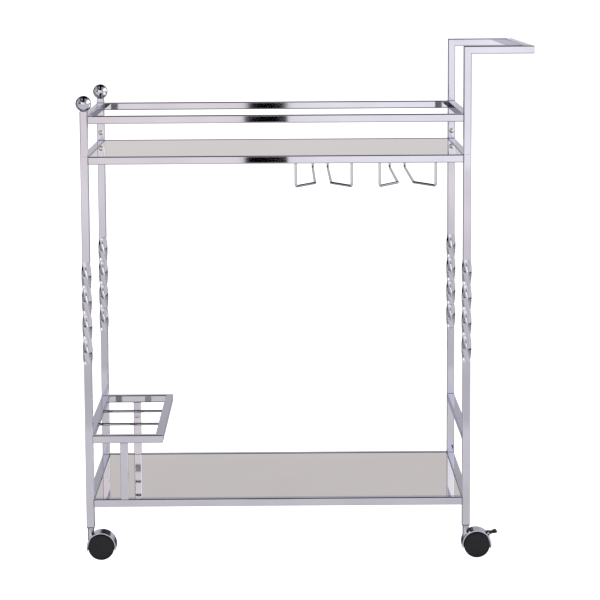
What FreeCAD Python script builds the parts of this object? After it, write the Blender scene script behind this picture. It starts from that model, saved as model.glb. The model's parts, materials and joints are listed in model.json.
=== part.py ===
"""Chrome bar cart on four twin-wheel casters, with two mirror shelves, a gallery rail round the
top shelf, wire runners for stemware, a bottle rack and a push handle.

Millimetres. +Z is up, +X points to the push handle and +Y to the back of the cart. The origin is
on the floor, under the centre of the cart's overall box.
"""
import math
import os

import FreeCAD
import Part

V = FreeCAD.Vector
X_AXIS, Y_AXIS, Z_AXIS = V(1, 0, 0), V(0, 1, 0), V(0, 0, 1)

# ---- driving sizes -------------------------------------------------------------------------
tube = 15.0                   # outside width of the square tube
tube_wall = 1.2
tube_corner = 2.0             # outside corner radius of the tube

frame_length = 737.0          # outside of the left posts to outside of the right posts
frame_depth = 396.0           # outside of the front posts to outside of the rear posts
post_over_wheel = 12.5        # from the top of the wheels to the underside of the posts
post_top = 862.5              # top of the two left posts, under their finials
handle_top = 981.0
handle_reach = 118.0          # from the outside of the right posts to the end of the handle

gallery_top = 854.0
top_shelf_top = 777.0         # top of the rails round the upper shelf
bottom_shelf_top = 117.0
rack_top = 242.0
end_rail_top = 242.0          # the extra rail low down between the right posts

twist_bottom = 378.0
twist_length = 200.0
twist_quarter_turns = 4
twist_corner = 2.3            # outside corner radius where the tube is twisted
twist_bore = 11.4             # round inside of the twisted length
sections_per_quarter = 6

mirror_thickness = 5.0
mirror_gap = 1.0              # between the mirror's edge and the rails
mirror_drop = 0.5             # mirror face below the top of the rails
tab_width, tab_reach, tab_thickness = 22.0, 14.0, 2.0
pad_diameter, pad_thickness = 9.0, 1.0
tab_inset = 110.0             # from the shelf's end to the nearest tab on a long rail

rack_reach = 149.0            # from the outside of the left posts to the outside of the rack
rack_leg_from_end = 74.0      # from the outside of the left posts to the legs' centre
rack_cells = 3
rod_diameter = 5.0

runner_wire = 5.0
runner_centres = (459.0, 618.0)   # from the outside of the left posts
runner_mouth = 106.0          # between the centres of the two front legs
runner_slot = 31.0            # between the centres of the two long wires
runner_drop = 45.0            # from the underside of the shelf rails to the wires' centre
runner_funnel = 64.0          # length of the splayed part, front to back
runner_bend = 5.0

finial_diameter = 30.0
finial_plug = 12.0            # length of the plug inside the post
finial_neck = 8.0             # short round neck that joins the ball to its plug
finial_seat = 0.6             # how far the ball reaches below the top of the post

sleeve_below, sleeve_above = 45.0, 46.0   # from the joint in the posts, down and up
sleeve_wall = 3.0
joint_gap = 0.8               # seam left between a lower post and the tray post above it
screw_diameter, screw_head, screw_head_height = 6.0, 10.5, 2.6
screw_socket, screw_socket_depth = 4.0, 1.7
screw_clearance = 0.25        # on the radius, where a screw passes through the post's wall
screw_up = 15.5               # from the top of the shelf rails to the screws
screw_tip = 1.2               # thread that shows past the sleeve's wall, inside

plug_head = 1.5               # part of the foot plug that shows below the post
plug_depth = 18.0
stem_diameter = 8.0
stem_in_plug = 15.0
stem_flange, stem_flange_height = 12.4, 5.0

wheel_diameter = 50.0
wheel_width = 14.0
wheel_edge = 3.0              # radius at the rim of the tread
swivel_inside_rim = 4.5       # from the swivel axis to the rim of the wheels, seen from above
web_thickness = 7.0           # body between the two wheels
web_below = 8.0               # how far the body reaches below the axle
wheel_side_gap = 0.6
wheel_boss = 14.0
wheel_boss_height = 0.3
face_step = 0.8               # depth of the dished disc in the wheel's face
face_disc = 42.0
axle_diameter = 6.0
axle_in_wheel = 11.0
running_clearance = 0.05      # on the radius, between a turning piece and its pin
hood_gap = 1.4                # from the tread to the inside of the hood
hood_wall = 1.7
hood_below = 14.0             # degrees that the hood reaches below the axle on each side
hood_lip = 1.0                # hood short of the wheels' outer faces, each side
barrel_diameter = 12.0
barrel_gap = 0.3              # under the stem's flange, and under the stem
stem_in_barrel = 10.0

lever_angle = 40.0            # where the lever's pivot stands round the wheel, from level
lever_hub = 7.0
lever_width = 15.0
lever_reach = 17.1
lever_thickness = 4.2
lever_toe = 1.35              # diameter of the tab's rounded end, in thicknesses
lever_tilt = 14.0             # rise of the tab above level, degrees
lever_pin = 3.0
lever_pin_length = 2.4
lever_wheel_gap = 1.0
lever_travel = 25.0           # degrees that the tab is pressed down to brake
cam_tread_gap = 0.3           # left between the lever's nose and the treads when it is down
cam_nose = 2.0                # diameter of the nose's tip
ear_outside, ear_thickness, ear_gap = 6.6, 2.8, 0.3

# ---- places worked out from the sizes --------------------------------------------------------
finial_overhang = (finial_diameter - tube) / 2
bore_width, bore_corner = tube - 2 * tube_wall, tube_corner / 2
post_foot = wheel_diameter + post_over_wheel      # underside of the posts
wheel_trail = wheel_diameter / 2 - swivel_inside_rim      # from the swivel axis back to the wheels' axis
joint_level = top_shelf_top             # top of the lower posts, level with the shelf rails
screw_level = top_shelf_top + screw_up
front_overhang = web_thickness / 2 + wheel_side_gap + wheel_width     # swivel axis to the wheels' outer face
left_overhang = max(finial_overhang, front_overhang - tube / 2)       # of what stands past the left posts
shift = (left_overhang - handle_reach) / 2        # puts the overall box's centre on X = 0
left_face = shift - frame_length / 2
right_face = shift + frame_length / 2
lever_pivot_radius = wheel_diameter / 2 + lever_wheel_gap + lever_hub / 2
lever_tip = lever_pivot_radius * math.cos(math.radians(lever_angle))
lever_tip += (lever_reach - lever_thickness / 2) * math.cos(math.radians(lever_tilt))
lever_tip += lever_thickness * lever_toe / 2      # from the wheels' axis to the end of the tab
shift_y = (front_overhang - wheel_trail - lever_tip) / 2      # puts the box's centre on Y = 0
front_face, rear_face = shift_y - frame_depth / 2, shift_y + frame_depth / 2
post_x = {"left": left_face + tube / 2, "right": right_face - tube / 2}
post_y = {"front": front_face + tube / 2, "rear": rear_face - tube / 2}
handle_end = right_face + handle_reach
twist_top = twist_bottom + twist_length
rack_right = left_face + rack_reach
mirror_tops = {"top": top_shelf_top - mirror_drop, "bottom": bottom_shelf_top - mirror_drop}
wheel_radius = wheel_diameter / 2
barrel_top = post_foot - plug_head - stem_flange_height - barrel_gap
hood_inside = wheel_radius + hood_gap
hood_outside = hood_inside + hood_wall
wheel_inner_face = web_thickness / 2 + wheel_side_gap
wheel_outer_face = wheel_inner_face + wheel_width
CORNERS = [(row, end) for row in ("front", "rear") for end in ("left", "right")]
BRAKED = [("front", "right"), ("rear", "right")]
CASTER_TURN = {"front": 0.0, "rear": 90.0}        # the rear casters trail backwards at rest


# ---- helpers ---------------------------------------------------------------------------------
def rounded_square(size, radius, z, turn=0.0):
    """A square wire with rounded corners in the plane at height z, turned about Z by turn degrees."""
    half, flat = size / 2, size / 2 - radius
    knee = flat + radius * 0.5 ** 0.5
    corners = [(1, 1), (-1, 1), (-1, -1), (1, -1)]
    edges = []
    for index, (sx, sy) in enumerate(corners):
        start, end = V(sx * half, sy * flat, z), V(sx * flat, sy * half, z)
        if sx * sy < 0:
            start, end = end, start
        edges.append(Part.Arc(start, V(sx * knee, sy * knee, z), end).toShape())
        nx, ny = corners[(index + 1) % 4]
        following = V(nx * half, ny * flat, z) if nx * ny > 0 else V(nx * flat, ny * half, z)
        edges.append(Part.LineSegment(end, following).toShape())
    wire = Part.Wire(Part.__sortEdges__(edges))
    wire.rotate(V(0, 0, z), Z_AXIS, turn)
    return wire


def square_bar(size, radius, length):
    """A solid bar along +Z from the origin, with rounded long edges."""
    return Part.Face(rounded_square(size, radius, 0)).extrude(V(0, 0, length))


def along(shape, start, direction):
    """Turns a shape made along +Z so that it points in direction, and moves it to start."""
    placed = shape.copy()
    placed.Placement = FreeCAD.Placement(start, FreeCAD.Rotation(Z_AXIS, direction))
    return placed


def tube_between(start, end):
    """A hollow square tube from start to end, which lie on its centre line along one axis."""
    run = end - start
    outer = square_bar(tube, tube_corner, run.Length)
    inner = square_bar(bore_width, bore_corner, run.Length)
    return along(outer.cut(inner), start, run)


def cylinder(diameter, length, start, direction):
    return Part.makeCylinder(diameter / 2, length, start, direction)


def trimmed(shape, point, outward):
    """Cuts away what lies on the outward side of the plane through point."""
    reach = 4 * frame_length
    box = Part.makeBox(reach, reach, reach, V(-reach / 2, -reach / 2, 0))
    return shape.cut(along(box, point, outward))


def compound(pieces):
    return Part.makeCompound(pieces)


def hex_socket(across_flats, depth, start, direction):
    """A hexagonal prism, used to cut the socket in a screw head."""
    ring = [V(across_flats / 3 ** 0.5, 0, 0)]
    for _ in range(5):
        ring.append(FreeCAD.Rotation(Z_AXIS, 60).multVec(ring[-1]))
    prism = Part.Face(Part.makePolygon(ring + [ring[0]])).extrude(V(0, 0, depth))
    return along(prism, start, direction)


def button_screw(seat, outward, shank_length):
    """A socket screw with its head standing out from seat along outward."""
    height, radius = screw_head_height, screw_head / 2
    sphere_radius = (radius ** 2 + height ** 2) / (2 * height)
    head = Part.makeSphere(sphere_radius, V(0, 0, height - sphere_radius))
    head = head.common(Part.makeCylinder(radius, height))
    floor = V(0, 0, height - screw_socket_depth)
    head = head.cut(hex_socket(screw_socket, screw_socket_depth + 1, floor, Z_AXIS))
    shank = Part.makeCylinder(screw_diameter / 2, shank_length, V(0, 0, -shank_length))
    return along(head.fuse(shank).removeSplitter(), seat, outward)


def bent_wire(points, bend, diameter):
    """A round wire through points, with an arc of centre-line radius bend at every corner."""
    edges, last = [], points[0]
    for before, corner, after in zip(points, points[1:], points[2:]):
        incoming = V(corner - before).normalize()
        outgoing = V(after - corner).normalize()
        setback = bend * math.tan(incoming.getAngle(outgoing) / 2)
        towards = V(outgoing - incoming).normalize()
        start, end = corner - incoming * setback, corner + outgoing * setback
        rise = (bend ** 2 + setback ** 2) ** 0.5 - bend
        edges.append(Part.LineSegment(last, start).toShape())
        edges.append(Part.Arc(start, corner + towards * rise, end).toShape())
        last = end
    edges.append(Part.LineSegment(last, points[-1]).toShape())
    section = Part.Wire(Part.makeCircle(diameter / 2, points[0], points[1] - points[0]))
    return Part.Wire(edges).makePipeShell([section], True, False)


# ---- frame -----------------------------------------------------------------------------------
def square_tube(bottom, top, bore_corner):
    """An upright hollow tube on the Z axis."""
    outer = square_bar(tube, tube_corner, top - bottom)
    tube_shape = outer.cut(square_bar(bore_width, bore_corner, top - bottom))
    tube_shape.translate(V(0, 0, bottom))
    return tube_shape


def twisted_tube():
    """The twisted length: square sections turned step by step round a plain round bore."""
    steps = twist_quarter_turns * sections_per_quarter
    step_height, step_turn = twist_length / steps, -90.0 / sections_per_quarter
    sections = []
    for index in range(steps + 1):
        level = twist_bottom + step_height * index
        sections.append(rounded_square(tube, twist_corner, level, step_turn * index))
    twist = Part.makeLoft(sections, True, False)
    return twist.cut(Part.makeCylinder(twist_bore / 2, twist_length, V(0, 0, twist_bottom)))


def lower_post(row, end):
    """Runs from the caster to the joint level with the top shelf, with its twisted length."""
    below = square_tube(post_foot, twist_bottom, bore_corner)
    above = square_tube(twist_top, joint_level, bore_corner)
    shape = below.fuse([twisted_tube(), above])
    shape.translate(V(post_x[end], post_y[row], 0))
    return shape


def tray_post(row, end):
    """Runs from the joint to the finial on the left and to the handle's mitre on the right."""
    top = post_top if end == "left" else handle_top
    x, y = post_x[end], post_y[row]
    shape = square_tube(joint_level + joint_gap, top, bore_corner)
    shape.translate(V(x, y, 0))
    if end == "right":
        shape = trimmed(shape, V(x, y, handle_top - tube / 2), V(1, 0, 1))
    facing = facing_in(row)
    hole = screw_diameter + 2 * screw_clearance
    return shape.cut(cylinder(hole, tube, V(x, y, screw_level), facing))


def facing_in(row):
    """Direction from a front or rear post towards the middle of the cart."""
    return V(0, 1, 0) if row == "front" else V(0, -1, 0)


def side_rail(end, top):
    """A rail along Y between the two posts of one end."""
    z = top - tube / 2
    return tube_between(V(post_x[end], front_face + tube, z), V(post_x[end], rear_face - tube, z))


def long_rail(row, top):
    """A rail along X between the posts of the left and right ends."""
    z = top - tube / 2
    return tube_between(V(left_face + tube, post_y[row], z), V(right_face - tube, post_y[row], z))


def handle_arm(row):
    """Runs from the mitre on top of a right post to the mitre on the grip."""
    z = handle_top - tube / 2
    arm = tube_between(V(right_face - tube, post_y[row], z), V(handle_end, post_y[row], z))
    arm = trimmed(arm, V(post_x["right"], post_y[row], z), V(-1, 0, -1))
    inward = 1 if row == "front" else -1
    return trimmed(arm, V(handle_end - tube / 2, post_y[row], z), V(1, inward, 0))


def handle_grip():
    """The cross bar of the handle, mitred to both arms."""
    x, z = handle_end - tube / 2, handle_top - tube / 2
    grip = tube_between(V(x, front_face, z), V(x, rear_face, z))
    grip = trimmed(grip, V(x, post_y["front"], z), V(-1, -1, 0))
    return trimmed(grip, V(x, post_y["rear"], z), V(-1, 1, 0))


def ball_finials():
    """Two balls, each with a square plug that closes the top of its post."""
    pieces = []
    for y in post_y.values():
        plug = square_bar(bore_width, bore_corner, finial_plug)
        plug.translate(V(0, 0, -finial_plug))
        centre = finial_diameter / 2 - finial_seat
        ball = Part.makeSphere(finial_diameter / 2, V(0, 0, centre))
        ball = ball.cut(Part.makeBox(tube, tube, tube, V(-tube / 2, -tube / 2, -tube)))
        neck = Part.makeCylinder(finial_neck / 2, centre)
        piece = plug.fuse([neck, ball])
        piece.translate(V(post_x["left"], y, post_top))
        pieces.append(piece)
    return compound(pieces)


# ---- shelves ---------------------------------------------------------------------------------
def mirror(shelf):
    length = frame_length - 2 * tube - 2 * mirror_gap
    depth = frame_depth - 2 * tube - 2 * mirror_gap
    corner = V(shift - length / 2, shift_y - depth / 2, mirror_tops[shelf] - mirror_thickness)
    return Part.makeBox(length, depth, mirror_thickness, corner)


def tab_places():
    """Centre of each tab on its rail, with the direction in which the tab points inwards."""
    near, far = left_face + tube + tab_inset, right_face - tube - tab_inset
    places = []
    for x in (near, (near + far) / 2, far):
        places.append((V(x, front_face + tube, 0), V(0, 1, 0)))
        places.append((V(x, rear_face - tube, 0), V(0, -1, 0)))
    places.append((V(left_face + tube, shift_y, 0), V(1, 0, 0)))
    places.append((V(right_face - tube, shift_y, 0), V(-1, 0, 0)))
    return places


def shelf_tabs():
    """Steel tabs welded inside the shelf frames, which carry the mirrors."""
    pieces = []
    for top in mirror_tops.values():
        z = top - mirror_thickness - pad_thickness - tab_thickness
        for root, inward in tab_places():
            across = inward.cross(Z_AXIS) * (tab_width / 2)
            outline = [root - across, root + across]
            outline += [point + inward * tab_reach for point in reversed(outline)]
            ring = [point + V(0, 0, z) for point in outline]
            pieces.append(Part.Face(Part.makePolygon(ring + [ring[0]])).extrude(V(0, 0, tab_thickness)))
    return compound(pieces)


def shelf_pads():
    """Soft round pads between the tabs and the mirrors."""
    pieces = []
    for top in mirror_tops.values():
        z = top - mirror_thickness - pad_thickness
        for root, inward in tab_places():
            centre = root + inward * (tab_reach - pad_diameter / 2 - 1) + V(0, 0, z)
            pieces.append(cylinder(pad_diameter, pad_thickness, centre, Z_AXIS))
    return compound(pieces)


def stemware_runner(centre_from_left):
    """One wire bent into a channel: a mouth at the front, a funnel and two long wires."""
    x = left_face + centre_from_left
    under = top_shelf_top - tube
    low, high = under - runner_drop, under + runner_wire / 2
    front = front_face + tube + runner_wire / 2
    funnel_end = front + runner_funnel
    half = [
        (runner_slot / 2, post_y["rear"], under),
        (runner_slot / 2, post_y["rear"], low),
        (runner_slot / 2, funnel_end, low),
        (runner_mouth / 2, front, low),
        (runner_mouth / 2, front, high),
    ]
    left = [V(x - dx, y, z) for dx, y, z in half]
    right = [V(x + dx, y, z) for dx, y, z in reversed(half)]
    return bent_wire(left + right, runner_bend, runner_wire)


# ---- bottle rack -----------------------------------------------------------------------------
def rack_long_rail(row):
    """Runs from a left post to the mitre at the rack's corner."""
    z = rack_top - tube / 2
    rail = tube_between(V(left_face + tube, post_y[row], z), V(rack_right, post_y[row], z))
    inward = 1 if row == "front" else -1
    return trimmed(rail, V(rack_right - tube / 2, post_y[row], z), V(1, inward, 0))


def rack_end_rail():
    x, z = rack_right - tube / 2, rack_top - tube / 2
    rail = tube_between(V(x, front_face, z), V(x, rear_face, z))
    rail = trimmed(rail, V(x, post_y["front"], z), V(-1, -1, 0))
    return trimmed(rail, V(x, post_y["rear"], z), V(-1, 1, 0))


def rack_legs():
    """Two tubes that stand on the lower shelf's rails and carry the rack."""
    x = left_face + rack_leg_from_end
    return compound([
        tube_between(V(x, y, bottom_shelf_top), V(x, y, rack_top - tube)) for y in post_y.values()
    ])


def rack_rods():
    """Round rods that part the rack into cells."""
    length = rack_reach - 2 * tube
    inner_front, inner_depth = front_face + tube, frame_depth - 2 * tube
    pieces = []
    for index in range(1, rack_cells):
        y = inner_front + inner_depth * index / rack_cells
        pieces.append(cylinder(rod_diameter, length, V(left_face + tube, y, rack_top - tube / 2), X_AXIS))
    return compound(pieces)


# ---- joints in the posts and plugs in their feet ----------------------------------------------
def joint_sleeves():
    """Tubes pressed inside the lower posts, over which the tray unit's posts slide."""
    pieces = []
    length = sleeve_below + sleeve_above
    hollow = bore_width - 2 * sleeve_wall
    for row, end in CORNERS:
        sleeve = square_bar(bore_width, bore_corner, length)
        sleeve = sleeve.cut(square_bar(hollow, bore_corner / 2, length))
        sleeve.translate(V(post_x[end], post_y[row], joint_level - sleeve_below))
        centre = V(post_x[end], post_y[row], screw_level)
        pieces.append(sleeve.cut(cylinder(screw_diameter, tube, centre, facing_in(row))))
    return compound(pieces)


def lock_screws():
    """One screw in the inner face of each tray post, which holds it on its sleeve."""
    pieces = []
    length = tube_wall + sleeve_wall + screw_tip
    for row, end in CORNERS:
        facing = facing_in(row)
        seat = V(post_x[end], post_y[row], screw_level) + facing * (tube / 2)
        pieces.append(button_screw(seat, facing, length))
    return compound(pieces)


def post_foot_plugs():
    """Plugs in the feet of the posts, each with a hole for a caster's stem."""
    pieces = []
    for row, end in CORNERS:
        head = square_bar(tube, tube_corner, plug_head)
        plug = square_bar(bore_width, bore_corner, plug_head + plug_depth)
        piece = head.fuse(plug).cut(Part.makeCylinder(stem_diameter / 2, stem_in_plug))
        piece.translate(V(post_x[end], post_y[row], post_foot - plug_head))
        pieces.append(piece)
    return compound(pieces)


# ---- casters ---------------------------------------------------------------------------------
def caster_stems():
    """Stems fixed in the foot plugs, on which the casters swivel."""
    top = post_foot - plug_head
    flange_bottom = top - stem_flange_height
    pieces = []
    for row, end in CORNERS:
        foot = V(post_x[end], post_y[row], barrel_top - stem_in_barrel)
        stem = cylinder(stem_diameter, top + stem_in_plug - foot.z, foot, Z_AXIS)
        flange = cylinder(stem_flange, stem_flange_height, V(foot.x, foot.y, flange_bottom), Z_AXIS)
        pieces.append(stem.fuse(flange).removeSplitter())
    return compound(pieces)


def annular_sector(inner, outer, width, first, last):
    """Part of a tube about Y through the origin, between two angles measured up from +X."""
    profile = Part.makePolygon([
        V(inner, -width / 2, 0), V(outer, -width / 2, 0), V(outer, width / 2, 0),
        V(inner, width / 2, 0), V(inner, -width / 2, 0)])
    sector = Part.Face(profile).revolve(V(0, 0, 0), V(0, -1, 0), last - first)
    sector.rotate(V(0, 0, 0), V(0, -1, 0), first)
    return sector


def lever_pivot():
    """The lever's pivot, from the wheels' axis. Its hub clears the treads."""
    return FreeCAD.Rotation(V(0, -1, 0), lever_angle).multVec(V(lever_pivot_radius, 0, 0))


def y_disc(diameter, width, centre):
    """A disc about Y, centred on a point."""
    return cylinder(diameter, width, centre - V(0, width / 2, 0), Y_AXIS)


def caster_hood(braked):
    """The plated body: a hood over both treads, a web between the wheels and a swivel barrel."""
    width = 2 * (wheel_outer_face - hood_lip)
    hood = annular_sector(hood_inside, hood_outside, width, -hood_below, 180 + hood_below)
    web = y_disc(2 * hood_inside + hood_wall, web_thickness, V(0, 0, 0))
    below_hood = V(-2 * hood_outside, -web_thickness / 2, -2 * hood_outside - web_below)
    web = web.cut(Part.makeBox(4 * hood_outside, web_thickness, 2 * hood_outside, below_hood))
    swivel = V(-wheel_trail, 0, 0)
    rise = barrel_top - wheel_radius
    barrel = cylinder(barrel_diameter, rise, swivel, Z_AXIS)
    barrel = barrel.cut(y_disc(2 * hood_inside, 2 * barrel_diameter, V(0, 0, 0)))
    shape = hood.fuse([web, barrel]).removeSplitter()
    bore_depth = stem_in_barrel + barrel_gap
    bore_diameter = stem_diameter + 2 * running_clearance
    bore = cylinder(bore_diameter, bore_depth, swivel + V(0, 0, rise - bore_depth), Z_AXIS)
    shape = shape.cut(bore).cut(y_disc(axle_diameter, 2 * width, V(0, 0, 0)))
    if braked:
        shape = with_lever_seat(shape)
    return shape


def with_lever_seat(shape):
    """Opens a slot in the hood for the lever and adds the two ears that hold it."""
    pivot = lever_pivot()
    slot_width = lever_width + 2 * ear_gap
    slot = y_disc(lever_hub + 3.0, slot_width, pivot)
    spread = (slot_width + ear_thickness) / 2
    ears = [y_disc(ear_outside, ear_thickness, pivot + V(0, side * spread, 0)) for side in (-1, 1)]
    inside = y_disc(2 * hood_inside, 4 * wheel_width, V(0, 0, 0))
    ears = [ear.cut(inside) for ear in ears]
    hole = y_disc(lever_pin + 2 * running_clearance, slot_width + 2 * ear_thickness, pivot)
    return shape.cut(slot).fuse(ears).cut(hole)


def brake_lever():
    """A foot lever with moulded pins that snap into the hood's ears and a nose for the treads."""
    pivot = lever_pivot()
    hub = y_disc(lever_hub, lever_width, V(0, 0, 0))
    pins = y_disc(lever_pin, lever_width + 2 * (ear_gap + lever_pin_length), V(0, 0, 0))
    half = lever_thickness / 2
    tab = Part.makeBox(lever_reach - half, lever_width, lever_thickness, V(0, -lever_width / 2, -half))
    toe = y_disc(lever_thickness * lever_toe, lever_width, V(lever_reach - half, 0, 0))
    grip = hub.fuse([pins, tab, toe])
    grip.rotate(V(0, 0, 0), V(0, -1, 0), lever_tilt)
    reach = lever_hub / 2 + lever_wheel_gap - cam_tread_gap - cam_nose / 2
    nose = y_disc(cam_nose, lever_width, V(reach, 0, 0))
    nose.rotate(V(0, 0, 0), V(0, -1, 0), 180 + lever_angle + lever_travel)
    lever = grip.fuse(nose).removeSplitter()
    lever.translate(pivot)
    return lever


def wheel(side):
    """A moulded wheel with a rounded tread, a dished outer face and a blind axle hole."""
    r, w, e = wheel_radius, wheel_width, wheel_edge
    knee = e * (1 - 0.5 ** 0.5)
    disc, boss = face_disc / 2, wheel_boss / 2
    outline = [
        Part.LineSegment(V(0, 0, -wheel_boss_height), V(boss, 0, -wheel_boss_height)),
        Part.LineSegment(V(boss, 0, -wheel_boss_height), V(boss, 0, 0)),
        Part.LineSegment(V(boss, 0, 0), V(r - e, 0, 0)),
        Part.Arc(V(r - e, 0, 0), V(r - knee, 0, knee), V(r, 0, e)),
        Part.LineSegment(V(r, 0, e), V(r, 0, w - e)),
        Part.Arc(V(r, 0, w - e), V(r - knee, 0, w - knee), V(r - e, 0, w)),
        Part.LineSegment(V(r - e, 0, w), V(disc, 0, w)),
        Part.LineSegment(V(disc, 0, w), V(disc - face_step, 0, w - face_step)),
        Part.LineSegment(V(disc - face_step, 0, w - face_step), V(0, 0, w - face_step)),
        Part.LineSegment(V(0, 0, w - face_step), V(0, 0, -wheel_boss_height)),
    ]
    profile = Part.Wire([segment.toShape() for segment in outline])
    body = Part.Face(profile).revolve(V(0, 0, 0), Z_AXIS, 360)
    hole_depth = axle_in_wheel + barrel_gap + wheel_boss_height
    hole = Part.makeCylinder(axle_diameter / 2 + running_clearance, hole_depth, V(0, 0, -wheel_boss_height))
    return along(body.cut(hole), V(0, side * wheel_inner_face, 0), V(0, side, 0))


def axle():
    length = 2 * (wheel_inner_face + axle_in_wheel)
    return y_disc(axle_diameter, length, V(0, 0, 0))


def at_caster(shape, row, end):
    """Moves a piece made about the wheels' axis to its place under a post."""
    placed = shape.copy()
    placed.translate(V(wheel_trail, 0, wheel_radius))
    placed.rotate(V(0, 0, 0), Z_AXIS, CASTER_TURN[row])
    placed.translate(V(post_x[end], post_y[row], 0))
    return placed


# ---- the whole cart --------------------------------------------------------------------------
def build():
    parts = {}
    for row, end in CORNERS:
        parts[f"lower_post_{row}_{end}"] = lower_post(row, end)
        parts[f"tray_post_{row}_{end}"] = tray_post(row, end)
    levels = {"gallery": gallery_top, "top_shelf": top_shelf_top, "bottom_shelf": bottom_shelf_top}
    for name, top in levels.items():
        for row in ("front", "rear"):
            parts[f"{name}_rail_{row}"] = long_rail(row, top)
        for end in ("left", "right"):
            parts[f"{name}_rail_{end}"] = side_rail(end, top)
    parts["rack_rail_left"] = side_rail("left", rack_top)
    parts["lower_end_rail_right"] = side_rail("right", end_rail_top)
    for row in ("front", "rear"):
        parts[f"handle_arm_{row}"] = handle_arm(row)
        parts[f"rack_rail_{row}"] = rack_long_rail(row)
    parts["handle_grip"] = handle_grip()
    parts["ball_finials"] = ball_finials()
    parts["rack_rail_right"] = rack_end_rail()
    parts["rack_legs"] = rack_legs()
    parts["rack_rods"] = rack_rods()
    for shelf in mirror_tops:
        parts[f"{shelf}_shelf_mirror"] = mirror(shelf)
    parts["shelf_tabs"] = shelf_tabs()
    parts["shelf_pads"] = shelf_pads()
    for side, centre in zip(("inner", "outer"), runner_centres):
        parts[f"stemware_runner_{side}"] = stemware_runner(centre)
    parts["joint_sleeves"] = joint_sleeves()
    parts["lock_screws"] = lock_screws()
    parts["post_foot_plugs"] = post_foot_plugs()
    parts["caster_stems"] = caster_stems()
    for row, end in CORNERS:
        name = f"caster_{row}_{end}"
        braked = (row, end) in BRAKED
        parts[f"{name}_hood"] = at_caster(caster_hood(braked), row, end)
        parts[f"{name}_axle"] = at_caster(axle(), row, end)
        for side_name, side in (("a", -1), ("b", 1)):
            parts[f"{name}_wheel_{side_name}"] = at_caster(wheel(side), row, end)
        if braked:
            parts[f"{name}_lever"] = at_caster(brake_lever(), row, end)
    return parts


def main():
    os.makedirs("parts", exist_ok=True)
    for name, shape in build().items():
        if not shape.isValid() or shape.Volume <= 0:
            raise ValueError(f"{name} is not a valid solid")
        shape.exportStep(f"parts/{name}.step")
        print(f"{name}: {len(shape.Solids)} solid(s), {shape.Volume / 1000:.2f} cm3")


main()
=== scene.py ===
"""Chrome bar cart: polished chrome tube, two mirror shelves, black nylon casters, plain white studio."""
import json
import math

import bmesh
import bpy
from mathutils import Matrix, Vector


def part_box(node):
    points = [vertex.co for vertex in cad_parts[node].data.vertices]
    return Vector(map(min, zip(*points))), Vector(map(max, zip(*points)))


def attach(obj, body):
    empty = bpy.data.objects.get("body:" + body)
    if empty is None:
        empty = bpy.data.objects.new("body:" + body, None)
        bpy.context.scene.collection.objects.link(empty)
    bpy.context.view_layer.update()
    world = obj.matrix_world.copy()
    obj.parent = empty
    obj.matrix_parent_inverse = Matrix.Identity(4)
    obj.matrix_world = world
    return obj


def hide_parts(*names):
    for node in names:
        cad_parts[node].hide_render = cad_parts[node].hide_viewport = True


MM = 0.001
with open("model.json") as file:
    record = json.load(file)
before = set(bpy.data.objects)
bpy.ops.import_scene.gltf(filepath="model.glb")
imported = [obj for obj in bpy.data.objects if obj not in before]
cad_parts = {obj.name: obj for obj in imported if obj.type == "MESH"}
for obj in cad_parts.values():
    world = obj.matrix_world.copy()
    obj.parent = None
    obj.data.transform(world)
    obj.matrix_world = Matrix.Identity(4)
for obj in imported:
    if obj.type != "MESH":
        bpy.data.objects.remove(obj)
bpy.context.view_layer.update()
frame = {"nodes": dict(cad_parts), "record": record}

# sizes taken from the cart itself, in millimetres
TUBE = 15.0                     # outside of the square tube
TUBE_WALL = 1.2
TUBE_CORNER = 2.0
TWIST_CORNER = 2.3
TWIST_FROM, TWIST_TO = 378.0, 578.0
TWIST_TURN = -2 * math.pi       # four quarter turns, left-handed
TWIST_EASE = 4.0                # length over which the twisting starts and stops
TWIST_RINGS = 96
TWIST_MARGIN = 8.0              # straight tube beyond the twist that stays finely cut
FINIAL_RADIUS = 15.0
FINIAL_SEAT = 0.6
FINIAL_NECK = 4.0
FINIAL_NECK_TOP = -0.2          # height at which the neck meets the ball, from the post's end
PLUG_DEPTH = 6.0                # of the square plugs under the finials
PLUG_ROUND = 0.5
ARRIS = 0.8                     # ground edge of the mirrors
WELD = 0.9                      # radius of the ground weld round a rail's end
WELD_SINK = 0.35                # how deep the weld lies in the rail's surface
WELD_STEPS = 8
TREAD_RADIUS = 24.99            # a hair less than the 25.0 that its shoulders reach
WHEEL_BORE = 3.05               # radius of the blind hole for the axle
TREAD_GROOVE = 24.85            # radius at the bottom of the parting groove
TREAD_ROUND = 3.0               # rounding of the tread's two shoulders
TREAD_SIDES = (0.3, 14.3)       # the wheel's faces, measured from its inner side
SHOULDER_STEPS = 6
LEVER_HALF_WIDTH = 7.5
LEVER_TIP_TO_PIVOT = 17.389     # along the lever, from its tip back to its pivot
LEVER_TOP_TO_PIVOT = 6.464      # from the top of its pad down to its pivot
LEVER_PIN_RADIUS = 1.5
LEVER_PIN_LENGTH = 20.4
LEVER_ROUND = 0.45

# rails that are welded to posts at both ends, and the axis that each runs along
SHELVES = ("gallery", "top_shelf", "bottom_shelf")
WELDED_RAILS = (
    [(f"{shelf}_rail_{row}", 0) for shelf in SHELVES for row in ("front", "rear")]
    + [(f"{shelf}_rail_{end}", 1) for shelf in SHELVES for end in ("left", "right")]
    + [("rack_rail_left", 1), ("lower_end_rail_right", 1)]
)


# ---- nodes and materials -----------------------------------------------------------------------
def linear(code, gain=1.0):
    """An sRGB hex colour as linear RGBA, times a gain for what is brighter than white."""
    values = [int(code[i:i + 2], 16) / 255 for i in (1, 3, 5)]
    values = [v / 12.92 if v <= 0.04045 else ((v + 0.055) / 1.055) ** 2.4 for v in values]
    return [gain * v for v in values] + [1.0]


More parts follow.
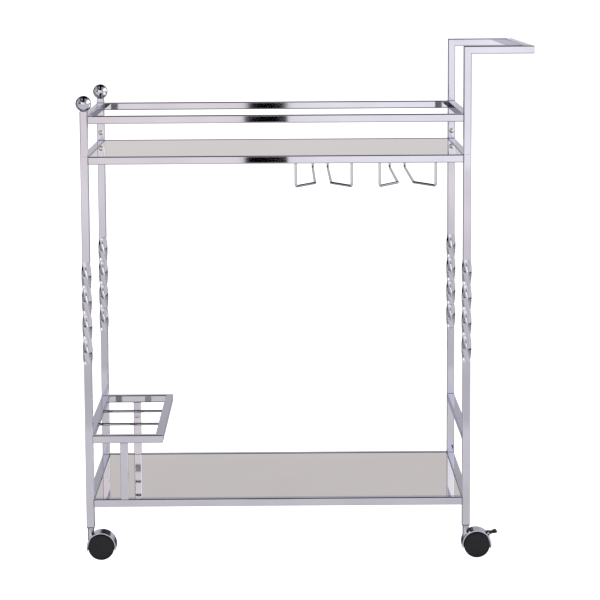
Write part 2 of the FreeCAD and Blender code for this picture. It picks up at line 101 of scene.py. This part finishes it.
def add(tree, kind, values=None, links=None, **settings):
    """Adds a node, sets its options and input values, and joins outputs to its inputs."""
    made = tree.nodes.new("ShaderNode" + kind)
    for name, value in settings.items():
        setattr(made, name, value)
    for name, value in (values or {}).items():
        made.inputs[name].default_value = value
    for name, source in (links or {}).items():
        tree.links.new(source, made.inputs[name])
    return made


def finish_named(name, **values):
    """A new material with its shader's own sockets set. Returns the material, tree and shader."""
    material = bpy.data.materials.new(name)
    material.use_nodes = True
    tree = material.node_tree
    shader = tree.nodes["Principled BSDF"]
    for socket, value in values.items():
        shader.inputs[socket.replace("_", " ")].default_value = value
    return material, tree, shader


def vary(tree, shader, socket, pattern, low, high, rise=(0.3, 0.7)):
    """Drives a socket from a pattern: a number between low and high, or a colour between two."""
    if isinstance(low, str):
        ramp = add(tree, "ValToRGB", links={"Fac": pattern})
        first, last = ramp.color_ramp.elements
        first.position, last.position = rise
        first.color, last.color = linear(low), linear(high)
        tree.links.new(ramp.outputs["Color"], shader.inputs[socket])
        return
    scale = {"From Min": rise[0], "From Max": rise[1], "To Min": low, "To Max": high}
    spread = add(tree, "MapRange", scale, {"Value": pattern})
    tree.links.new(spread.outputs["Result"], shader.inputs[socket])


def relief(tree, shader, pattern, strength, depth_mm):
    """Turns a pattern into bump of a real depth."""
    bump = add(tree, "Bump", {"Strength": strength, "Distance": depth_mm * MM}, {"Height": pattern})
    tree.links.new(bump.outputs["Normal"], shader.inputs["Normal"])


def noise(tree, place, size_mm, detail=2.0):
    """A cloudy pattern with patches of about size_mm."""
    made = add(tree, "TexNoise", {"Scale": 1 / (size_mm * MM), "Detail": detail}, {"Vector": place})
    return made.outputs["Fac"]


def chrome_plate():
    """Bright chrome on steel tube, polished then plated: a clean cool mirror with slow changes of
    gloss where it has been wiped, and the very shallow ripple that polishing leaves."""
    material, tree, shader = finish_named("bright_chrome_plate", Metallic=1.0,
                                          Specular_Tint=(0.82, 0.85, 0.96, 1.0))
    place = add(tree, "TexCoord").outputs["Object"]
    vary(tree, shader, "Base Color", noise(tree, place, 90, 3), "#CDCCD1", "#D6D5D9")
    vary(tree, shader, "Roughness", noise(tree, place, 35, 4), 0.02, 0.045)
    relief(tree, shader, noise(tree, place, 14, 1), 0.08, 0.01)
    return material


def weld_chrome_with_painted_shade():
    """Chrome over ground weld: duller than the tube, with the grinder's fine scratches, and darker in
    colour as painted shade where each rail meets its post.
    """
    material, tree, shader = finish_named("weld_chrome_painted_joint_shade", Metallic=1.0)
    place = add(tree, "TexCoord").outputs["Object"]
    # the weld's dark base colour is painted shade at the joint of rail and post
    vary(tree, shader, "Base Color", noise(tree, place, 4, 3), "#77757C", "#98969D")
    vary(tree, shader, "Roughness", noise(tree, place, 2, 4), 0.12, 0.28)
    relief(tree, shader, noise(tree, place, 1.2, 3), 0.3, 0.04)
    return material


def silvered_glass():
    """Silvered float glass: a near perfect mirror, with faint wiping haze and the slight green of
    clear glass."""
    material, tree, shader = finish_named("silvered_float_glass", Metallic=1.0)
    place = add(tree, "TexCoord").outputs["Object"]
    vary(tree, shader, "Base Color", noise(tree, place, 220, 3), "#EFEDED", "#F5F4F3")
    vary(tree, shader, "Roughness", noise(tree, place, 60, 5), 0.012, 0.03)
    return material


def ground_glass_edge():
    """The flat-ground edge of float glass: pale sea green, satin from the grinding wheel."""
    material, tree, shader = finish_named("ground_glass_edge", IOR=1.52)
    place = add(tree, "TexCoord").outputs["Object"]
    vary(tree, shader, "Base Color", noise(tree, place, 6, 4), "#8FA79C", "#B4C6BD")
    vary(tree, shader, "Roughness", noise(tree, place, 2, 3), 0.25, 0.45)
    return material


def mirror_backing_paint():
    """Charcoal backing lacquer, curtain coated over the silver, with a fine orange peel."""
    material, tree, shader = finish_named("mirror_backing_lacquer", IOR=1.5)
    place = add(tree, "TexCoord").outputs["Object"]
    vary(tree, shader, "Base Color", noise(tree, place, 40, 4), "#222326", "#2E2F32")
    vary(tree, shader, "Roughness", noise(tree, place, 8, 2), 0.4, 0.55)
    relief(tree, shader, noise(tree, place, 3, 2), 0.2, 0.05)
    return material


def moulded_nylon():
    """Black nylon, injection moulded in a spark-eroded tool: satin, with a fine grain."""
    material, tree, shader = finish_named("moulded_black_nylon", IOR=1.53, Specular_IOR_Level=0.28)
    place = add(tree, "TexCoord").outputs["Object"]
    vary(tree, shader, "Base Color", noise(tree, place, 12, 3), "#110F12", "#1A181B")
    vary(tree, shader, "Roughness", noise(tree, place, 5, 4), 0.3, 0.45)
    # the real grain is about 0.1 mm and is drawn at 0.6 mm so that it shows
    relief(tree, shader, noise(tree, place, 0.6, 2), 0.25, 0.03)
    return material


def nickel_screw_steel():
    """Nickel-plated steel screws: a little warmer and less bright than the chrome."""
    material, tree, shader = finish_named("nickel_plated_steel", Metallic=1.0)
    place = add(tree, "TexCoord").outputs["Object"]
    vary(tree, shader, "Base Color", noise(tree, place, 3, 3), "#EEE8E2", "#F8F4F0")
    vary(tree, shader, "Roughness", noise(tree, place, 1.5, 3), 0.42, 0.55)
    relief(tree, shader, noise(tree, place, 0.8, 2), 0.1, 0.01)
    return material


def zinc_plate():
    """Bright zinc on turned steel: pale blue grey, with shallow rings about 5 mm apart."""
    material, tree, shader = finish_named("bright_zinc_plate", Metallic=1.0)
    place = add(tree, "TexCoord").outputs["Object"]
    vary(tree, shader, "Base Color", noise(tree, place, 5, 3), "#B3B7BD", "#CBCED2")
    vary(tree, shader, "Roughness", noise(tree, place, 2, 4), 0.22, 0.38)
    rings = add(tree, "TexWave", {"Scale": 62.5, "Distortion": 0.4}, {"Vector": place},
                bands_direction="Z")
    relief(tree, shader, rings.outputs["Fac"], 0.15, 0.02)
    return material


def clear_rubber():
    """Clear silicone pads, cast: milky and satin."""
    material, tree, shader = finish_named("clear_silicone_rubber", IOR=1.41)
    place = add(tree, "TexCoord").outputs["Object"]
    vary(tree, shader, "Base Color", noise(tree, place, 4, 2), "#C9CCCB", "#DADCDB")
    vary(tree, shader, "Roughness", noise(tree, place, 2, 3), 0.3, 0.45)
    return material


CHROME = chrome_plate()
WELD_CHROME_PAINTED_SHADE = weld_chrome_with_painted_shade()
MIRROR = silvered_glass()
GLASS_EDGE = ground_glass_edge()
BACKING = mirror_backing_paint()
NYLON = moulded_nylon()
NICKEL = nickel_screw_steel()
ZINC = zinc_plate()
RUBBER = clear_rubber()
FINISH_OF_SLOT = {
    "chrome": CHROME, "silvered_mirror": MIRROR, "wheel_plastic": NYLON, "lever_plastic": NYLON,
    "plug_plastic": NYLON, "pad_rubber": RUBBER, "screw_steel": NICKEL, "zinc_steel": ZINC,
}


def dress_cad_nodes():
    """Gives every node of the frame the real finish of its slot."""
    for part in frame["record"]["subparts"]:
        node = frame["nodes"][part["node"]]
        node.data.materials.clear()
        node.data.materials.append(FINISH_OF_SLOT[part["material_slot"]])


# ---- making pieces -----------------------------------------------------------------------------
def piece(name, mesh, body, replaced, finishes):
    """Puts a mesh on a body as a named piece, which stands for CAD nodes if any are given."""
    made = bpy.data.objects.new(name, mesh)
    bpy.context.scene.collection.objects.link(made)
    for finish in finishes:
        mesh.materials.append(finish)
    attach(made, body)
    if replaced:
        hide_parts(*replaced)


def mesh_of(made, name, smooth=True):
    """Turns a finished working mesh into a named one."""
    mesh = bpy.data.meshes.new(name)
    made.to_mesh(mesh)
    made.free()
    for face in mesh.polygons:
        face.use_smooth = smooth
    return mesh


def tube_outline(corner, corner_steps=6, flat_steps=4):
    """Points round the tube and their outward directions, in millimetres."""
    half, flat = TUBE / 2, TUBE / 2 - corner
    outline = []
    for quarter in range(4):
        turn = Matrix.Rotation(quarter * math.pi / 2, 2)
        for step in range(corner_steps + 1):
            angle = math.pi / 2 * step / corner_steps
            out = Vector((math.cos(angle), math.sin(angle)))
            outline.append((turn @ (Vector((flat, flat)) + corner * out), turn @ out))
        for step in range(1, flat_steps):
            along = flat - 2 * flat * step / flat_steps
            outline.append((turn @ Vector((along, half)), turn @ Vector((0, 1))))
    return outline


def twist_at(z):
    """Angle of the tube at height z, and how fast it changes per millimetre."""
    span = TWIST_TO - TWIST_FROM
    full = span - TWIST_EASE
    rate = TWIST_TURN / full
    t = min(max(z - TWIST_FROM, 0), span)
    if t < TWIST_EASE:
        return rate * t * t / (2 * TWIST_EASE), rate * t / TWIST_EASE
    if t > span - TWIST_EASE:
        left = span - t
        return TWIST_TURN - rate * left * left / (2 * TWIST_EASE), rate * left / TWIST_EASE
    return rate * (t - TWIST_EASE / 2), rate


def post_levels(bottom, top):
    """Heights of the rings of one post, close together where it is twisted."""
    step = (TWIST_TO - TWIST_FROM) / TWIST_RINGS
    twisted = [TWIST_FROM + step * i for i in range(TWIST_RINGS + 1)]
    return [bottom, TWIST_FROM - TWIST_MARGIN] + twisted + [TWIST_TO + TWIST_MARGIN, top]


def twisted_post(name, node):
    """One lower post: square tube with its twisted length, drawn ring by ring."""
    low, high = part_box(node)
    centre = (low + high) / 2
    around = len(tube_outline(TUBE_CORNER))
    verts, normals = [], []
    levels = post_levels(low.z / MM, high.z / MM)
    for z in levels:
        angle, rate = twist_at(z)
        inside = TWIST_FROM <= z <= TWIST_TO
        corner = TWIST_CORNER if inside else TUBE_CORNER
        turn = Matrix.Rotation(angle, 2)
        for point, out in tube_outline(corner):
            p, n = turn @ point, turn @ out
            slope = -rate * (-p.y * n.x + p.x * n.y)
            verts.append((centre.x + p.x * MM, centre.y + p.y * MM, z * MM))
            normals.append(Vector((n.x, n.y, slope)).normalized())
    faces = []
    for ring in range(len(levels) - 1):
        for i in range(around):
            a, b = ring * around + i, ring * around + (i + 1) % around
            faces.append((a, b, b + around, a + around))
    last = (len(levels) - 1) * around
    faces.append(tuple(reversed(range(around))))
    faces.append(tuple(last + i for i in range(around)))
    mesh = bpy.data.meshes.new(name)
    mesh.from_pydata(verts, [], faces)
    mesh.update()
    for face in mesh.polygons:
        face.use_smooth = True
    loops = []
    for face in mesh.polygons:
        end_cap = len(face.vertices) > 4
        for vertex in face.vertices:
            loops.append(face.normal.copy() if end_cap else normals[vertex])
    mesh.normals_split_custom_set(loops)
    piece(name, mesh, "frame", [node], [CHROME])


def turned(name, profile, places, segments=96):
    """A mesh of one or more pieces turned about Z from a profile of (radius, height)."""
    made = bmesh.new()
    for place in places:
        rings = []
        for radius, height in profile:
            if radius < 1e-6:
                rings.append([made.verts.new(place + Vector((0, 0, height * MM)))])
                continue
            ring = []
            for i in range(segments):
                a = 2 * math.pi * i / segments
                offset = Vector((radius * math.cos(a), radius * math.sin(a), height)) * MM
                ring.append(made.verts.new(place + offset))
            rings.append(ring)
        for below, above in zip(rings, rings[1:]):
            for i in range(segments):
                j = (i + 1) % segments
                corners = [below[i % len(below)], below[j % len(below)], above[j % len(above)],
                           above[i % len(above)]]
                unique = list(dict.fromkeys(corners))
                made.faces.new(unique)
    bmesh.ops.recalc_face_normals(made, faces=made.faces)
    return mesh_of(made, name)


def ball_finials():
    """The two balls with their short necks and the square plugs that close the posts."""
    low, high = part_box("ball_finials")
    top = high.z / MM - 2 * FINIAL_RADIUS + FINIAL_SEAT
    centre = FINIAL_RADIUS - FINIAL_SEAT
    start = -math.acos(FINIAL_NECK / FINIAL_RADIUS)
    steps = 72
    profile = [(0, -PLUG_DEPTH), (FINIAL_NECK, -PLUG_DEPTH), (FINIAL_NECK, FINIAL_NECK_TOP)]
    for i in range(steps + 1):
        a = start + (math.pi / 2 - start) * i / steps
        profile.append((max(FINIAL_RADIUS * math.cos(a), 0.0), centre + FINIAL_RADIUS * math.sin(a)))
    x = (low.x + high.x) / 2
    rows = (low.y + FINIAL_RADIUS * MM, high.y - FINIAL_RADIUS * MM)
    places = [Vector((x, y, top * MM)) for y in rows]
    mesh = turned("ball_finial_pair", profile, places)
    mesh.set_sharp_from_angle(angle=math.radians(50))
    piece("ball_finial_pair", mesh, "frame", ["ball_finials"], [CHROME])
    plugs = bmesh.new()
    bore = TUBE - 2 * TUBE_WALL
    for place in places:
        block = bmesh.ops.create_cube(plugs, size=1.0)["verts"]
        bmesh.ops.scale(plugs, vec=Vector((bore, bore, PLUG_DEPTH)) * MM, verts=block)
        bmesh.ops.translate(plugs, vec=place + Vector((0, 0, -PLUG_DEPTH / 2 * MM)), verts=block)
    bmesh.ops.bevel(plugs, geom=list(plugs.edges), offset=PLUG_ROUND * MM, segments=2, affect="EDGES")
    piece("finial_plugs", mesh_of(plugs, "finial_plugs", smooth=False), "frame", [], [CHROME])


def mirror_pane(name, node):
    """A pane with ground arrises: silvered on top, sea green at the edge, lacquered below."""
    low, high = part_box(node)
    made = bmesh.new()
    bmesh.ops.create_cube(made, size=1.0)
    bmesh.ops.scale(made, vec=high - low, verts=made.verts)
    bmesh.ops.translate(made, vec=(high + low) / 2, verts=made.verts)
    bmesh.ops.bevel(made, geom=list(made.edges), offset=ARRIS * MM, segments=1, affect="EDGES")
    for face in made.faces:
        face.normal_update()
        if face.normal.z > 0.99:
            face.material_index = 0
        elif face.normal.z < -0.99:
            face.material_index = 2
        else:
            face.material_index = 1
    mesh = mesh_of(made, name, smooth=False)
    piece(name, mesh, "frame", [node], [MIRROR, GLASS_EDGE, BACKING])


def weld_beads():
    """The ground weld round each end of each rail, where it meets a post; its darker chrome is painted
    shade of the joint.
    """
    made = bmesh.new()
    around = tube_outline(TUBE_CORNER)
    for node, axis in WELDED_RAILS:
        low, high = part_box(node)
        centre = (low + high) / 2
        for at in (low[axis], high[axis]):
            rings = []
            for point, out in around:
                ring = []
                for step in range(WELD_STEPS):
                    angle = 2 * math.pi * step / WELD_STEPS
                    reach = WELD * math.cos(angle) - WELD_SINK
                    flat = point + out * reach
                    place = Vector(centre)
                    place[axis] = at + WELD * math.sin(angle) * MM
                    place[1 - axis] += flat.x * MM
                    place.z += flat.y * MM
                    ring.append(made.verts.new(place))
                rings.append(ring)
            for first, second in zip(rings, rings[1:] + rings[:1]):
                for step in range(WELD_STEPS):
                    after = (step + 1) % WELD_STEPS
                    made.faces.new((first[step], first[after], second[after], second[step]))
    bmesh.ops.recalc_face_normals(made, faces=made.faces)
    # the weld's finish darkens it as painted shade at the joint of rail and post
    piece("weld_beads", mesh_of(made, "weld_beads"), "frame", [], [WELD_CHROME_PAINTED_SHADE])


def wheel_profile():
    """Half section of a wheel as (radius, distance from its inner face): blind bore, boss, rounded
    tread with its parting groove, and a domed disc set into the outer face inside a fine rim."""
    inner, outer = TREAD_SIDES
    round_centre = 22.0
    bore_end = outer - TREAD_ROUND
    profile = [(0, bore_end), (WHEEL_BORE, bore_end), (WHEEL_BORE, 0.0), (6.8, 0.0), (7.0, inner),
               (round_centre, inner)]
    turns = [math.pi / 2 * step / SHOULDER_STEPS for step in range(1, SHOULDER_STEPS + 1)]
    for angle in turns:
        profile.append((round_centre + TREAD_ROUND * math.sin(angle),
                        inner + TREAD_ROUND - TREAD_ROUND * math.cos(angle)))
    profile += [(TREAD_RADIUS, 7.1), (TREAD_GROOVE, 7.2), (TREAD_GROOVE, 7.4), (TREAD_RADIUS, 7.5),
                (TREAD_RADIUS, bore_end)]
    for angle in turns:
        profile.append((round_centre + TREAD_ROUND * math.cos(angle),
                        bore_end + TREAD_ROUND * math.sin(angle)))
    profile += [(21.7, outer), (21.4, 14.15), (21.15, 13.75), (20.9, 13.5), (20.3, 13.5), (16.0, 13.72),
                (10.0, 13.9), (4.0, 13.97), (0, 13.98)]
    return profile


def caster_wheel(row, end, side, trail):
    """One nylon wheel with its axle along Y (trail 0) or X (trail 1)."""
    node = f"caster_{row}_{end}_wheel_{side}"
    low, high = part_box(node)
    hood_low, hood_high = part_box(f"caster_{row}_{end}_hood")
    across = 1 - trail
    centre = (low + high) / 2
    outward = 1 if centre[across] > (hood_low[across] + hood_high[across]) / 2 else -1
    centre[across] = (low if outward > 0 else high)[across]
    mesh = turned(f"wheel_{row}_{end}_{side}", wheel_profile(), [Vector()])
    way = Vector((0, 0, 0))
    way[across] = outward
    tilt = Vector((0, 0, 1)).rotation_difference(way).to_matrix().to_4x4()
    mesh.transform(Matrix.Translation(centre) @ tilt)
    mesh.set_sharp_from_angle(angle=math.radians(35))
    piece(mesh.name, mesh, node, [node], [NYLON])


def lever_width_at(along):
    """Half the width of the foot lever at a distance from its pivot: waisted between hub and pad."""
    stops = [(-5, 1.0), (3.2, 1.0), (6.0, 0.62), (8.0, 0.66), (11.5, 1.0), (15.0, 0.98), (17.4, 0.8)]
    for (start, first), (end, last) in zip(stops, stops[1:]):
        if along <= end:
            part = (along - start) / (end - start)
            return LEVER_HALF_WIDTH * (first + (last - first) * part * part * (3 - 2 * part))
    return LEVER_HALF_WIDTH * stops[-1][1]


def lever_outline():
    """Side view of the foot lever about its pivot, in millimetres: hub, cam nose, waist, ribbed pad."""
    top = [(17.3, 3.7), (17.1, 4.8), (16.4, 5.7)]
    for step in range(9):
        along = 15.6 - 0.75 * step
        crest = 6.35 - 0.035 * (along - 14.0) ** 2
        top.append((along, crest - (0.35 if step % 2 else 0.0)))
    top += [(8.2, 4.75), (6.4, 4.0), (4.0, 3.6), (1.8, 3.5)]
    hub = []
    for degrees in range(90, 235, 15):
        angle = math.radians(degrees)
        hub.append((3.5 * math.cos(angle), 3.5 * math.sin(angle)))
    nose = [(-2.29, -3.24), (-1.85, -3.77), (-1.35, -3.88), (-0.85, -3.77), (-0.3, -3.5)]
    under = [(1.2, -3.29), (2.25, -2.68), (3.03, -1.75), (4.2, -0.9), (6.2, 0.1), (8.6, 1.1), (11.0, 1.5),
             (13.4, 1.5), (15.4, 1.9), (16.8, 2.7)]
    return top + hub + nose + under


def foot_lever(row, trail):
    """A brake lever's moulding, with its trail direction along X (0) or Y (1)."""
    node = f"caster_{row}_right_lever"
    low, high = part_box(node)
    pivot = (low + high) / 2
    pivot[trail] = high[trail] - LEVER_TIP_TO_PIVOT * MM
    pivot.z = high.z - LEVER_TOP_TO_PIVOT * MM
    made = bmesh.new()
    sides = []
    for side in (-1, 1):
        ring = []
        for along, up in lever_outline():
            ring.append(made.verts.new(Vector((along, side * lever_width_at(along), up)) * MM))
        made.faces.new(ring if side < 0 else list(reversed(ring)))
        sides.append(ring)
    count = len(sides[0])
    for i in range(count):
        j = (i + 1) % count
        made.faces.new((sides[0][j], sides[0][i], sides[1][i], sides[1][j]))
    rims = [edge for edge in made.edges if len({vertex.co.y > 0 for vertex in edge.verts}) == 1]
    bmesh.ops.bevel(made, geom=rims, offset=LEVER_ROUND * MM, segments=3, affect="EDGES")
    pin = bmesh.ops.create_cone(made, cap_ends=True, segments=32, radius1=LEVER_PIN_RADIUS * MM,
                                radius2=LEVER_PIN_RADIUS * MM, depth=LEVER_PIN_LENGTH * MM)["verts"]
    quarter = math.pi / 2
    bmesh.ops.rotate(made, cent=(0, 0, 0), matrix=Matrix.Rotation(quarter, 3, "X"), verts=pin)
    if trail == 1:
        bmesh.ops.rotate(made, cent=(0, 0, 0), matrix=Matrix.Rotation(quarter, 3, "Z"), verts=made.verts)
    bmesh.ops.translate(made, vec=pivot, verts=made.verts)
    bmesh.ops.recalc_face_normals(made, faces=made.faces)
    mesh = mesh_of(made, f"foot_lever_{row}")
    mesh.set_sharp_from_angle(angle=math.radians(35))
    piece(mesh.name, mesh, node, [node], [NYLON])


# ---- studio ------------------------------------------------------------------------------------
ROOM_STRENGTH = 1.344           # the chrome gives back about two thirds of what it mirrors
PATCH_EDGE = 0.03               # half the width of a patch's soft edge
FLOOR_REACH = 8.0               # how far the paper runs to each side and to the front
FLOOR_BACK = 2.0

# dark and bright patches of the room that the chrome mirrors: left, right, bottom and top as parts
# of a unit direction, which half of the room each is in, and its tone
ROOM_PATCHES = [
    (-0.42, -0.18, 0.02, 0.40, "front", linear("#FFFFFF", 1.35)),
    (-0.62, 0.30, 0.50, 0.78, "front", "#26262A"),
    (-0.12, 0.32, 0.36, 1.2, "front", "#060608"),
    (-0.60, -0.40, 0.78, 0.95, "front", "#1E1E22"),
    (0.74, 1.2, 0.05, 0.62, "both", linear("#FFFFFF", 1.35)),
    (-0.5, 0.6, 0.30, 1.2, "back", "#0A0A0C"),
    (-0.34, -0.18, 0.56, 0.72, "back", "#B0AEB3"),
    (0.40, 0.58, 0.56, 0.72, "back", "#B8B6BB"),
    (-0.84, -0.42, -0.3, 0.42, "back", "#08080A"),
]


def curve_of(tree, source, stops):
    """A grey or coloured ramp over 0..1, from (position, hex colour) stops."""
    ramp = add(tree, "ValToRGB", links={"Fac": source})
    elements = ramp.color_ramp.elements
    while len(elements) < len(stops):
        elements.new(0.5)
    for element, (position, code) in zip(elements, stops):
        element.position = position
        element.color = linear(code)
    return ramp.outputs["Color"]


def bare_tree(owner):
    """The emptied node tree of a material or a world."""
    owner.use_nodes = True
    owner.node_tree.nodes.clear()
    return owner.node_tree


def math_node(tree, operation, a, b=0.0):
    """One sum on two numbers or outputs."""
    made = add(tree, "Math", operation=operation)
    for socket, value in zip(made.inputs, (a, b)):
        if isinstance(value, (int, float)):
            socket.default_value = value
        else:
            tree.links.new(value, socket)
    return made.outputs[0]


def mix(tree, factor, first, second):
    """A colour mix of two outputs or hex colours."""
    made = add(tree, "Mix", data_type="RGBA")
    for socket, value in ((made.inputs[0], factor), (made.inputs[6], first), (made.inputs[7], second)):
        if isinstance(value, str):
            socket.default_value = linear(value)
        elif isinstance(value, (int, float, list)):
            socket.default_value = value
        else:
            tree.links.new(value, socket)
    return made.outputs[2]


def band(tree, source, low, high, soft):
    """1 between low and high, 0 outside, with soft edges."""
    rise = add(tree, "MapRange", {"From Min": low - soft, "From Max": low + soft}, {"Value": source},
               interpolation_type="SMOOTHSTEP")
    downward = {"From Min": high - soft, "From Max": high + soft, "To Min": 1.0, "To Max": 0.0}
    fall = add(tree, "MapRange", downward, {"Value": source}, interpolation_type="SMOOTHSTEP")
    return math_node(tree, "MULTIPLY", rise.outputs["Result"], fall.outputs["Result"])


def studio_world():
    """Plain white where the camera looks. Reflections see a grey, cloudy room with a pale screen in
    front of the cart, a graded wall behind it, and the patches above."""
    world = bpy.data.worlds.new("white_studio")
    bpy.context.scene.world = world
    tree = bare_tree(world)
    direction = add(tree, "TexCoord").outputs["Generated"]
    way = add(tree, "SeparateXYZ", links={"Vector": direction})
    x, y, z = way.outputs
    in_front = math_node(tree, "LESS_THAN", y, 0.0)
    half = {"front": in_front, "back": math_node(tree, "SUBTRACT", 1.0, in_front), "both": 1.0}
    clutter = add(tree, "TexNoise", {"Scale": 2.6, "Detail": 3.0}, {"Vector": direction})
    room = curve_of(tree, clutter.outputs["Fac"], [(0.36, "#6E6C72"), (0.5, "#9E9CA2"), (0.64, "#C2C0C5")])
    up = add(tree, "MapRange", {"From Min": -0.2, "From Max": 0.4}, {"Value": z}).outputs["Result"]
    behind = curve_of(tree, up, [(0.0, "#4B4A50"), (0.33, "#959399"), (0.36, "#BDB9BA"), (0.62, "#B7B3B3"),
                                 (0.8, "#ACA8A8"), (0.9, "#343236"), (1.0, "#101012")])
    over = add(tree, "MapRange", {"From Min": -0.15, "From Max": 0.15}, {"Value": x}).outputs["Result"]
    ahead = curve_of(tree, over, [(0.0, "#E6DDE1"), (0.45, "#E8E2E6"), (0.6, "#F0EEF6"), (1.0, "#F6F5FE")])
    near = math_node(tree, "MULTIPLY", band(tree, x, -0.30, 0.36, 0.06), band(tree, z, -2.0, 0.34, 0.04))
    room = mix(tree, math_node(tree, "MULTIPLY", near, half["front"]), room, ahead)
    far = math_node(tree, "MULTIPLY", band(tree, x, -0.36, 0.36, 0.08), half["back"])
    room = mix(tree, far, room, behind)
    for left, right, bottom, top, where, tone in ROOM_PATCHES:
        wide = band(tree, x, left, right, PATCH_EDGE)
        tall = band(tree, z, bottom, top, PATCH_EDGE)
        patch = math_node(tree, "MULTIPLY", math_node(tree, "MULTIPLY", wide, tall), half[where])
        room = mix(tree, patch, room, tone)
    seen = add(tree, "LightPath").outputs["Is Camera Ray"]
    colour = mix(tree, seen, room, "#FFFFFF")
    ground = add(tree, "Background", {"Strength": ROOM_STRENGTH}, {"Color": colour})
    add(tree, "OutputWorld", links={"Surface": ground.outputs["Background"]})


def staged_sheet(name, corners, finish):
    """A flat card or floor that isn't part of the cart."""
    mesh = bpy.data.meshes.new(name)
    mesh.from_pydata(corners, [], [tuple(range(len(corners)))])
    mesh.materials.append(finish)
    made = bpy.data.objects.new(name, mesh)
    bpy.context.scene.collection.objects.link(made)
    return made


def paper_floor():
    """Seamless paper: plain white where the camera looks, and in reflections a grey that runs from
    front to back, with a painted shadow of the cart as a dark line under it."""
    finish = bpy.data.materials.new("white_paper_floor")
    tree = bare_tree(finish)
    place = add(tree, "SeparateXYZ", links={"Vector": add(tree, "TexCoord").outputs["Object"]})
    limits = {"From Min": FLOOR_REACH, "From Max": -FLOOR_REACH}
    forward = add(tree, "MapRange", limits, {"Value": place.outputs["Y"]})
    # the two #3A3A3E stops just under the cart are a painted shadow of the cart, seen only in reflections
    reflected_grey_with_painted_shadow = curve_of(tree, forward.outputs["Result"], [
        (0.3, "#A5A3A9"), (0.485, "#8F8D93"), (0.497, "#3A3A3E"), (0.508, "#3A3A3E"), (0.517, "#C8C5CB"),
        (0.5825, "#CFCCD3"), (0.59, "#BDBAC1"), (0.7, "#CAC6CC"), (0.875, "#E3DFE4")])
    seen = add(tree, "LightPath").outputs["Is Camera Ray"]
    colour = mix(tree, seen, reflected_grey_with_painted_shadow, "#FFFFFF")
    glow = add(tree, "Emission", {"Strength": ROOM_STRENGTH}, {"Color": colour})
    add(tree, "OutputMaterial", links={"Surface": glow.outputs["Emission"]})
    sides = (-FLOOR_REACH, FLOOR_REACH)
    front = [(x, -FLOOR_REACH, 0) for x in sides]
    back = [(x, FLOOR_BACK, 0) for x in reversed(sides)]
    staged_sheet("paper_floor", front + back, finish)


def dark_cards():
    """Two black cards that only reflections see: one just behind the camera that shows as a black
    patch in the rails, and one to the left that shows as a streak in the balls."""
    finish = bpy.data.materials.new("black_cloth")
    tree = bare_tree(finish)
    dark = add(tree, "Emission", {"Color": linear("#07050A"), "Strength": 1.0})
    add(tree, "OutputMaterial", links={"Surface": dark.outputs["Emission"]})
    y = -4.32
    front = [(-0.184, y, 0.25), (-0.021, y, 0.25), (-0.021, y, 0.75), (-0.184, y, 0.75)]
    left = [(-1.30, -0.69, 0.85), (-1.17, -0.88, 0.85), (-1.17, -0.88, 1.36), (-1.30, -0.69, 1.36)]
    for name, corners in (("dark_stand", front), ("dark_flag", left)):
        card = staged_sheet(name, corners, finish)
        card.visible_camera = False
        card.visible_shadow = False


def soft_light(name, place, aim, size, power):
    """A large soft light that isn't itself mirrored in the chrome."""
    lamp = bpy.data.lights.new(name, "AREA")
    lamp.shape, lamp.size, lamp.energy = "SQUARE", size, power
    made = bpy.data.objects.new(name, lamp)
    bpy.context.scene.collection.objects.link(made)
    made.location = place
    made.rotation_euler = (Vector(aim) - Vector(place)).to_track_quat("-Z", "Y").to_euler()
    made.visible_glossy = False


CAMERA_PLACE = (-0.04189, -4.24034, 1.14035)
CAMERA_TURN = (0.0035, 0.1224, -0.0060)     # to the right, down, and rolled, in radians
CAMERA_LENS = 128.62
CAMERA_SHIFT = (0.0167, -0.125)


def camera():
    """Standing in front of the cart, a little above the handle, looking slightly down."""
    turn, tip, roll = CAMERA_TURN
    ahead = Vector((math.sin(turn) * math.cos(tip), math.cos(turn) * math.cos(tip), -math.sin(tip)))
    right = Vector((math.cos(turn), -math.sin(turn), 0))
    up = right.cross(ahead)
    right_rolled = right * math.cos(roll) + up * math.sin(roll)
    up_rolled = up * math.cos(roll) - right * math.sin(roll)
    data = bpy.data.cameras.new("camera")
    data.sensor_width = 36.0
    data.lens = CAMERA_LENS
    data.shift_x, data.shift_y = CAMERA_SHIFT
    made = bpy.data.objects.new("camera", data)
    bpy.context.scene.collection.objects.link(made)
    axes = Matrix((right_rolled, up_rolled, -ahead)).transposed().to_4x4()
    made.matrix_world = Matrix.Translation(CAMERA_PLACE) @ axes
    bpy.context.scene.camera = made


# ---- build ---------------------------------------------------------------------------------------
dress_cad_nodes()
for row in ("front", "rear"):
    for end in ("left", "right"):
        twisted_post(f"twisted_post_{row}_{end}", f"lower_post_{row}_{end}")
ball_finials()
mirror_pane("top_mirror_pane", "top_shelf_mirror")
mirror_pane("bottom_mirror_pane", "bottom_shelf_mirror")
weld_beads()
for row, trail in (("front", 0), ("rear", 1)):
    foot_lever(row, trail)
    for end in ("left", "right"):
        for side in ("a", "b"):
            caster_wheel(row, end, side, trail)
studio_world()
paper_floor()
dark_cards()
soft_light("key_light", (-2.2, -2.6, 2.8), (0, 0, 0.5), 2.0, 60)
soft_light("fill_light", (2.6, -2.0, 2.2), (0, 0, 0.4), 2.0, 35)
camera()
bpy.context.scene.view_settings.view_transform = "Standard"
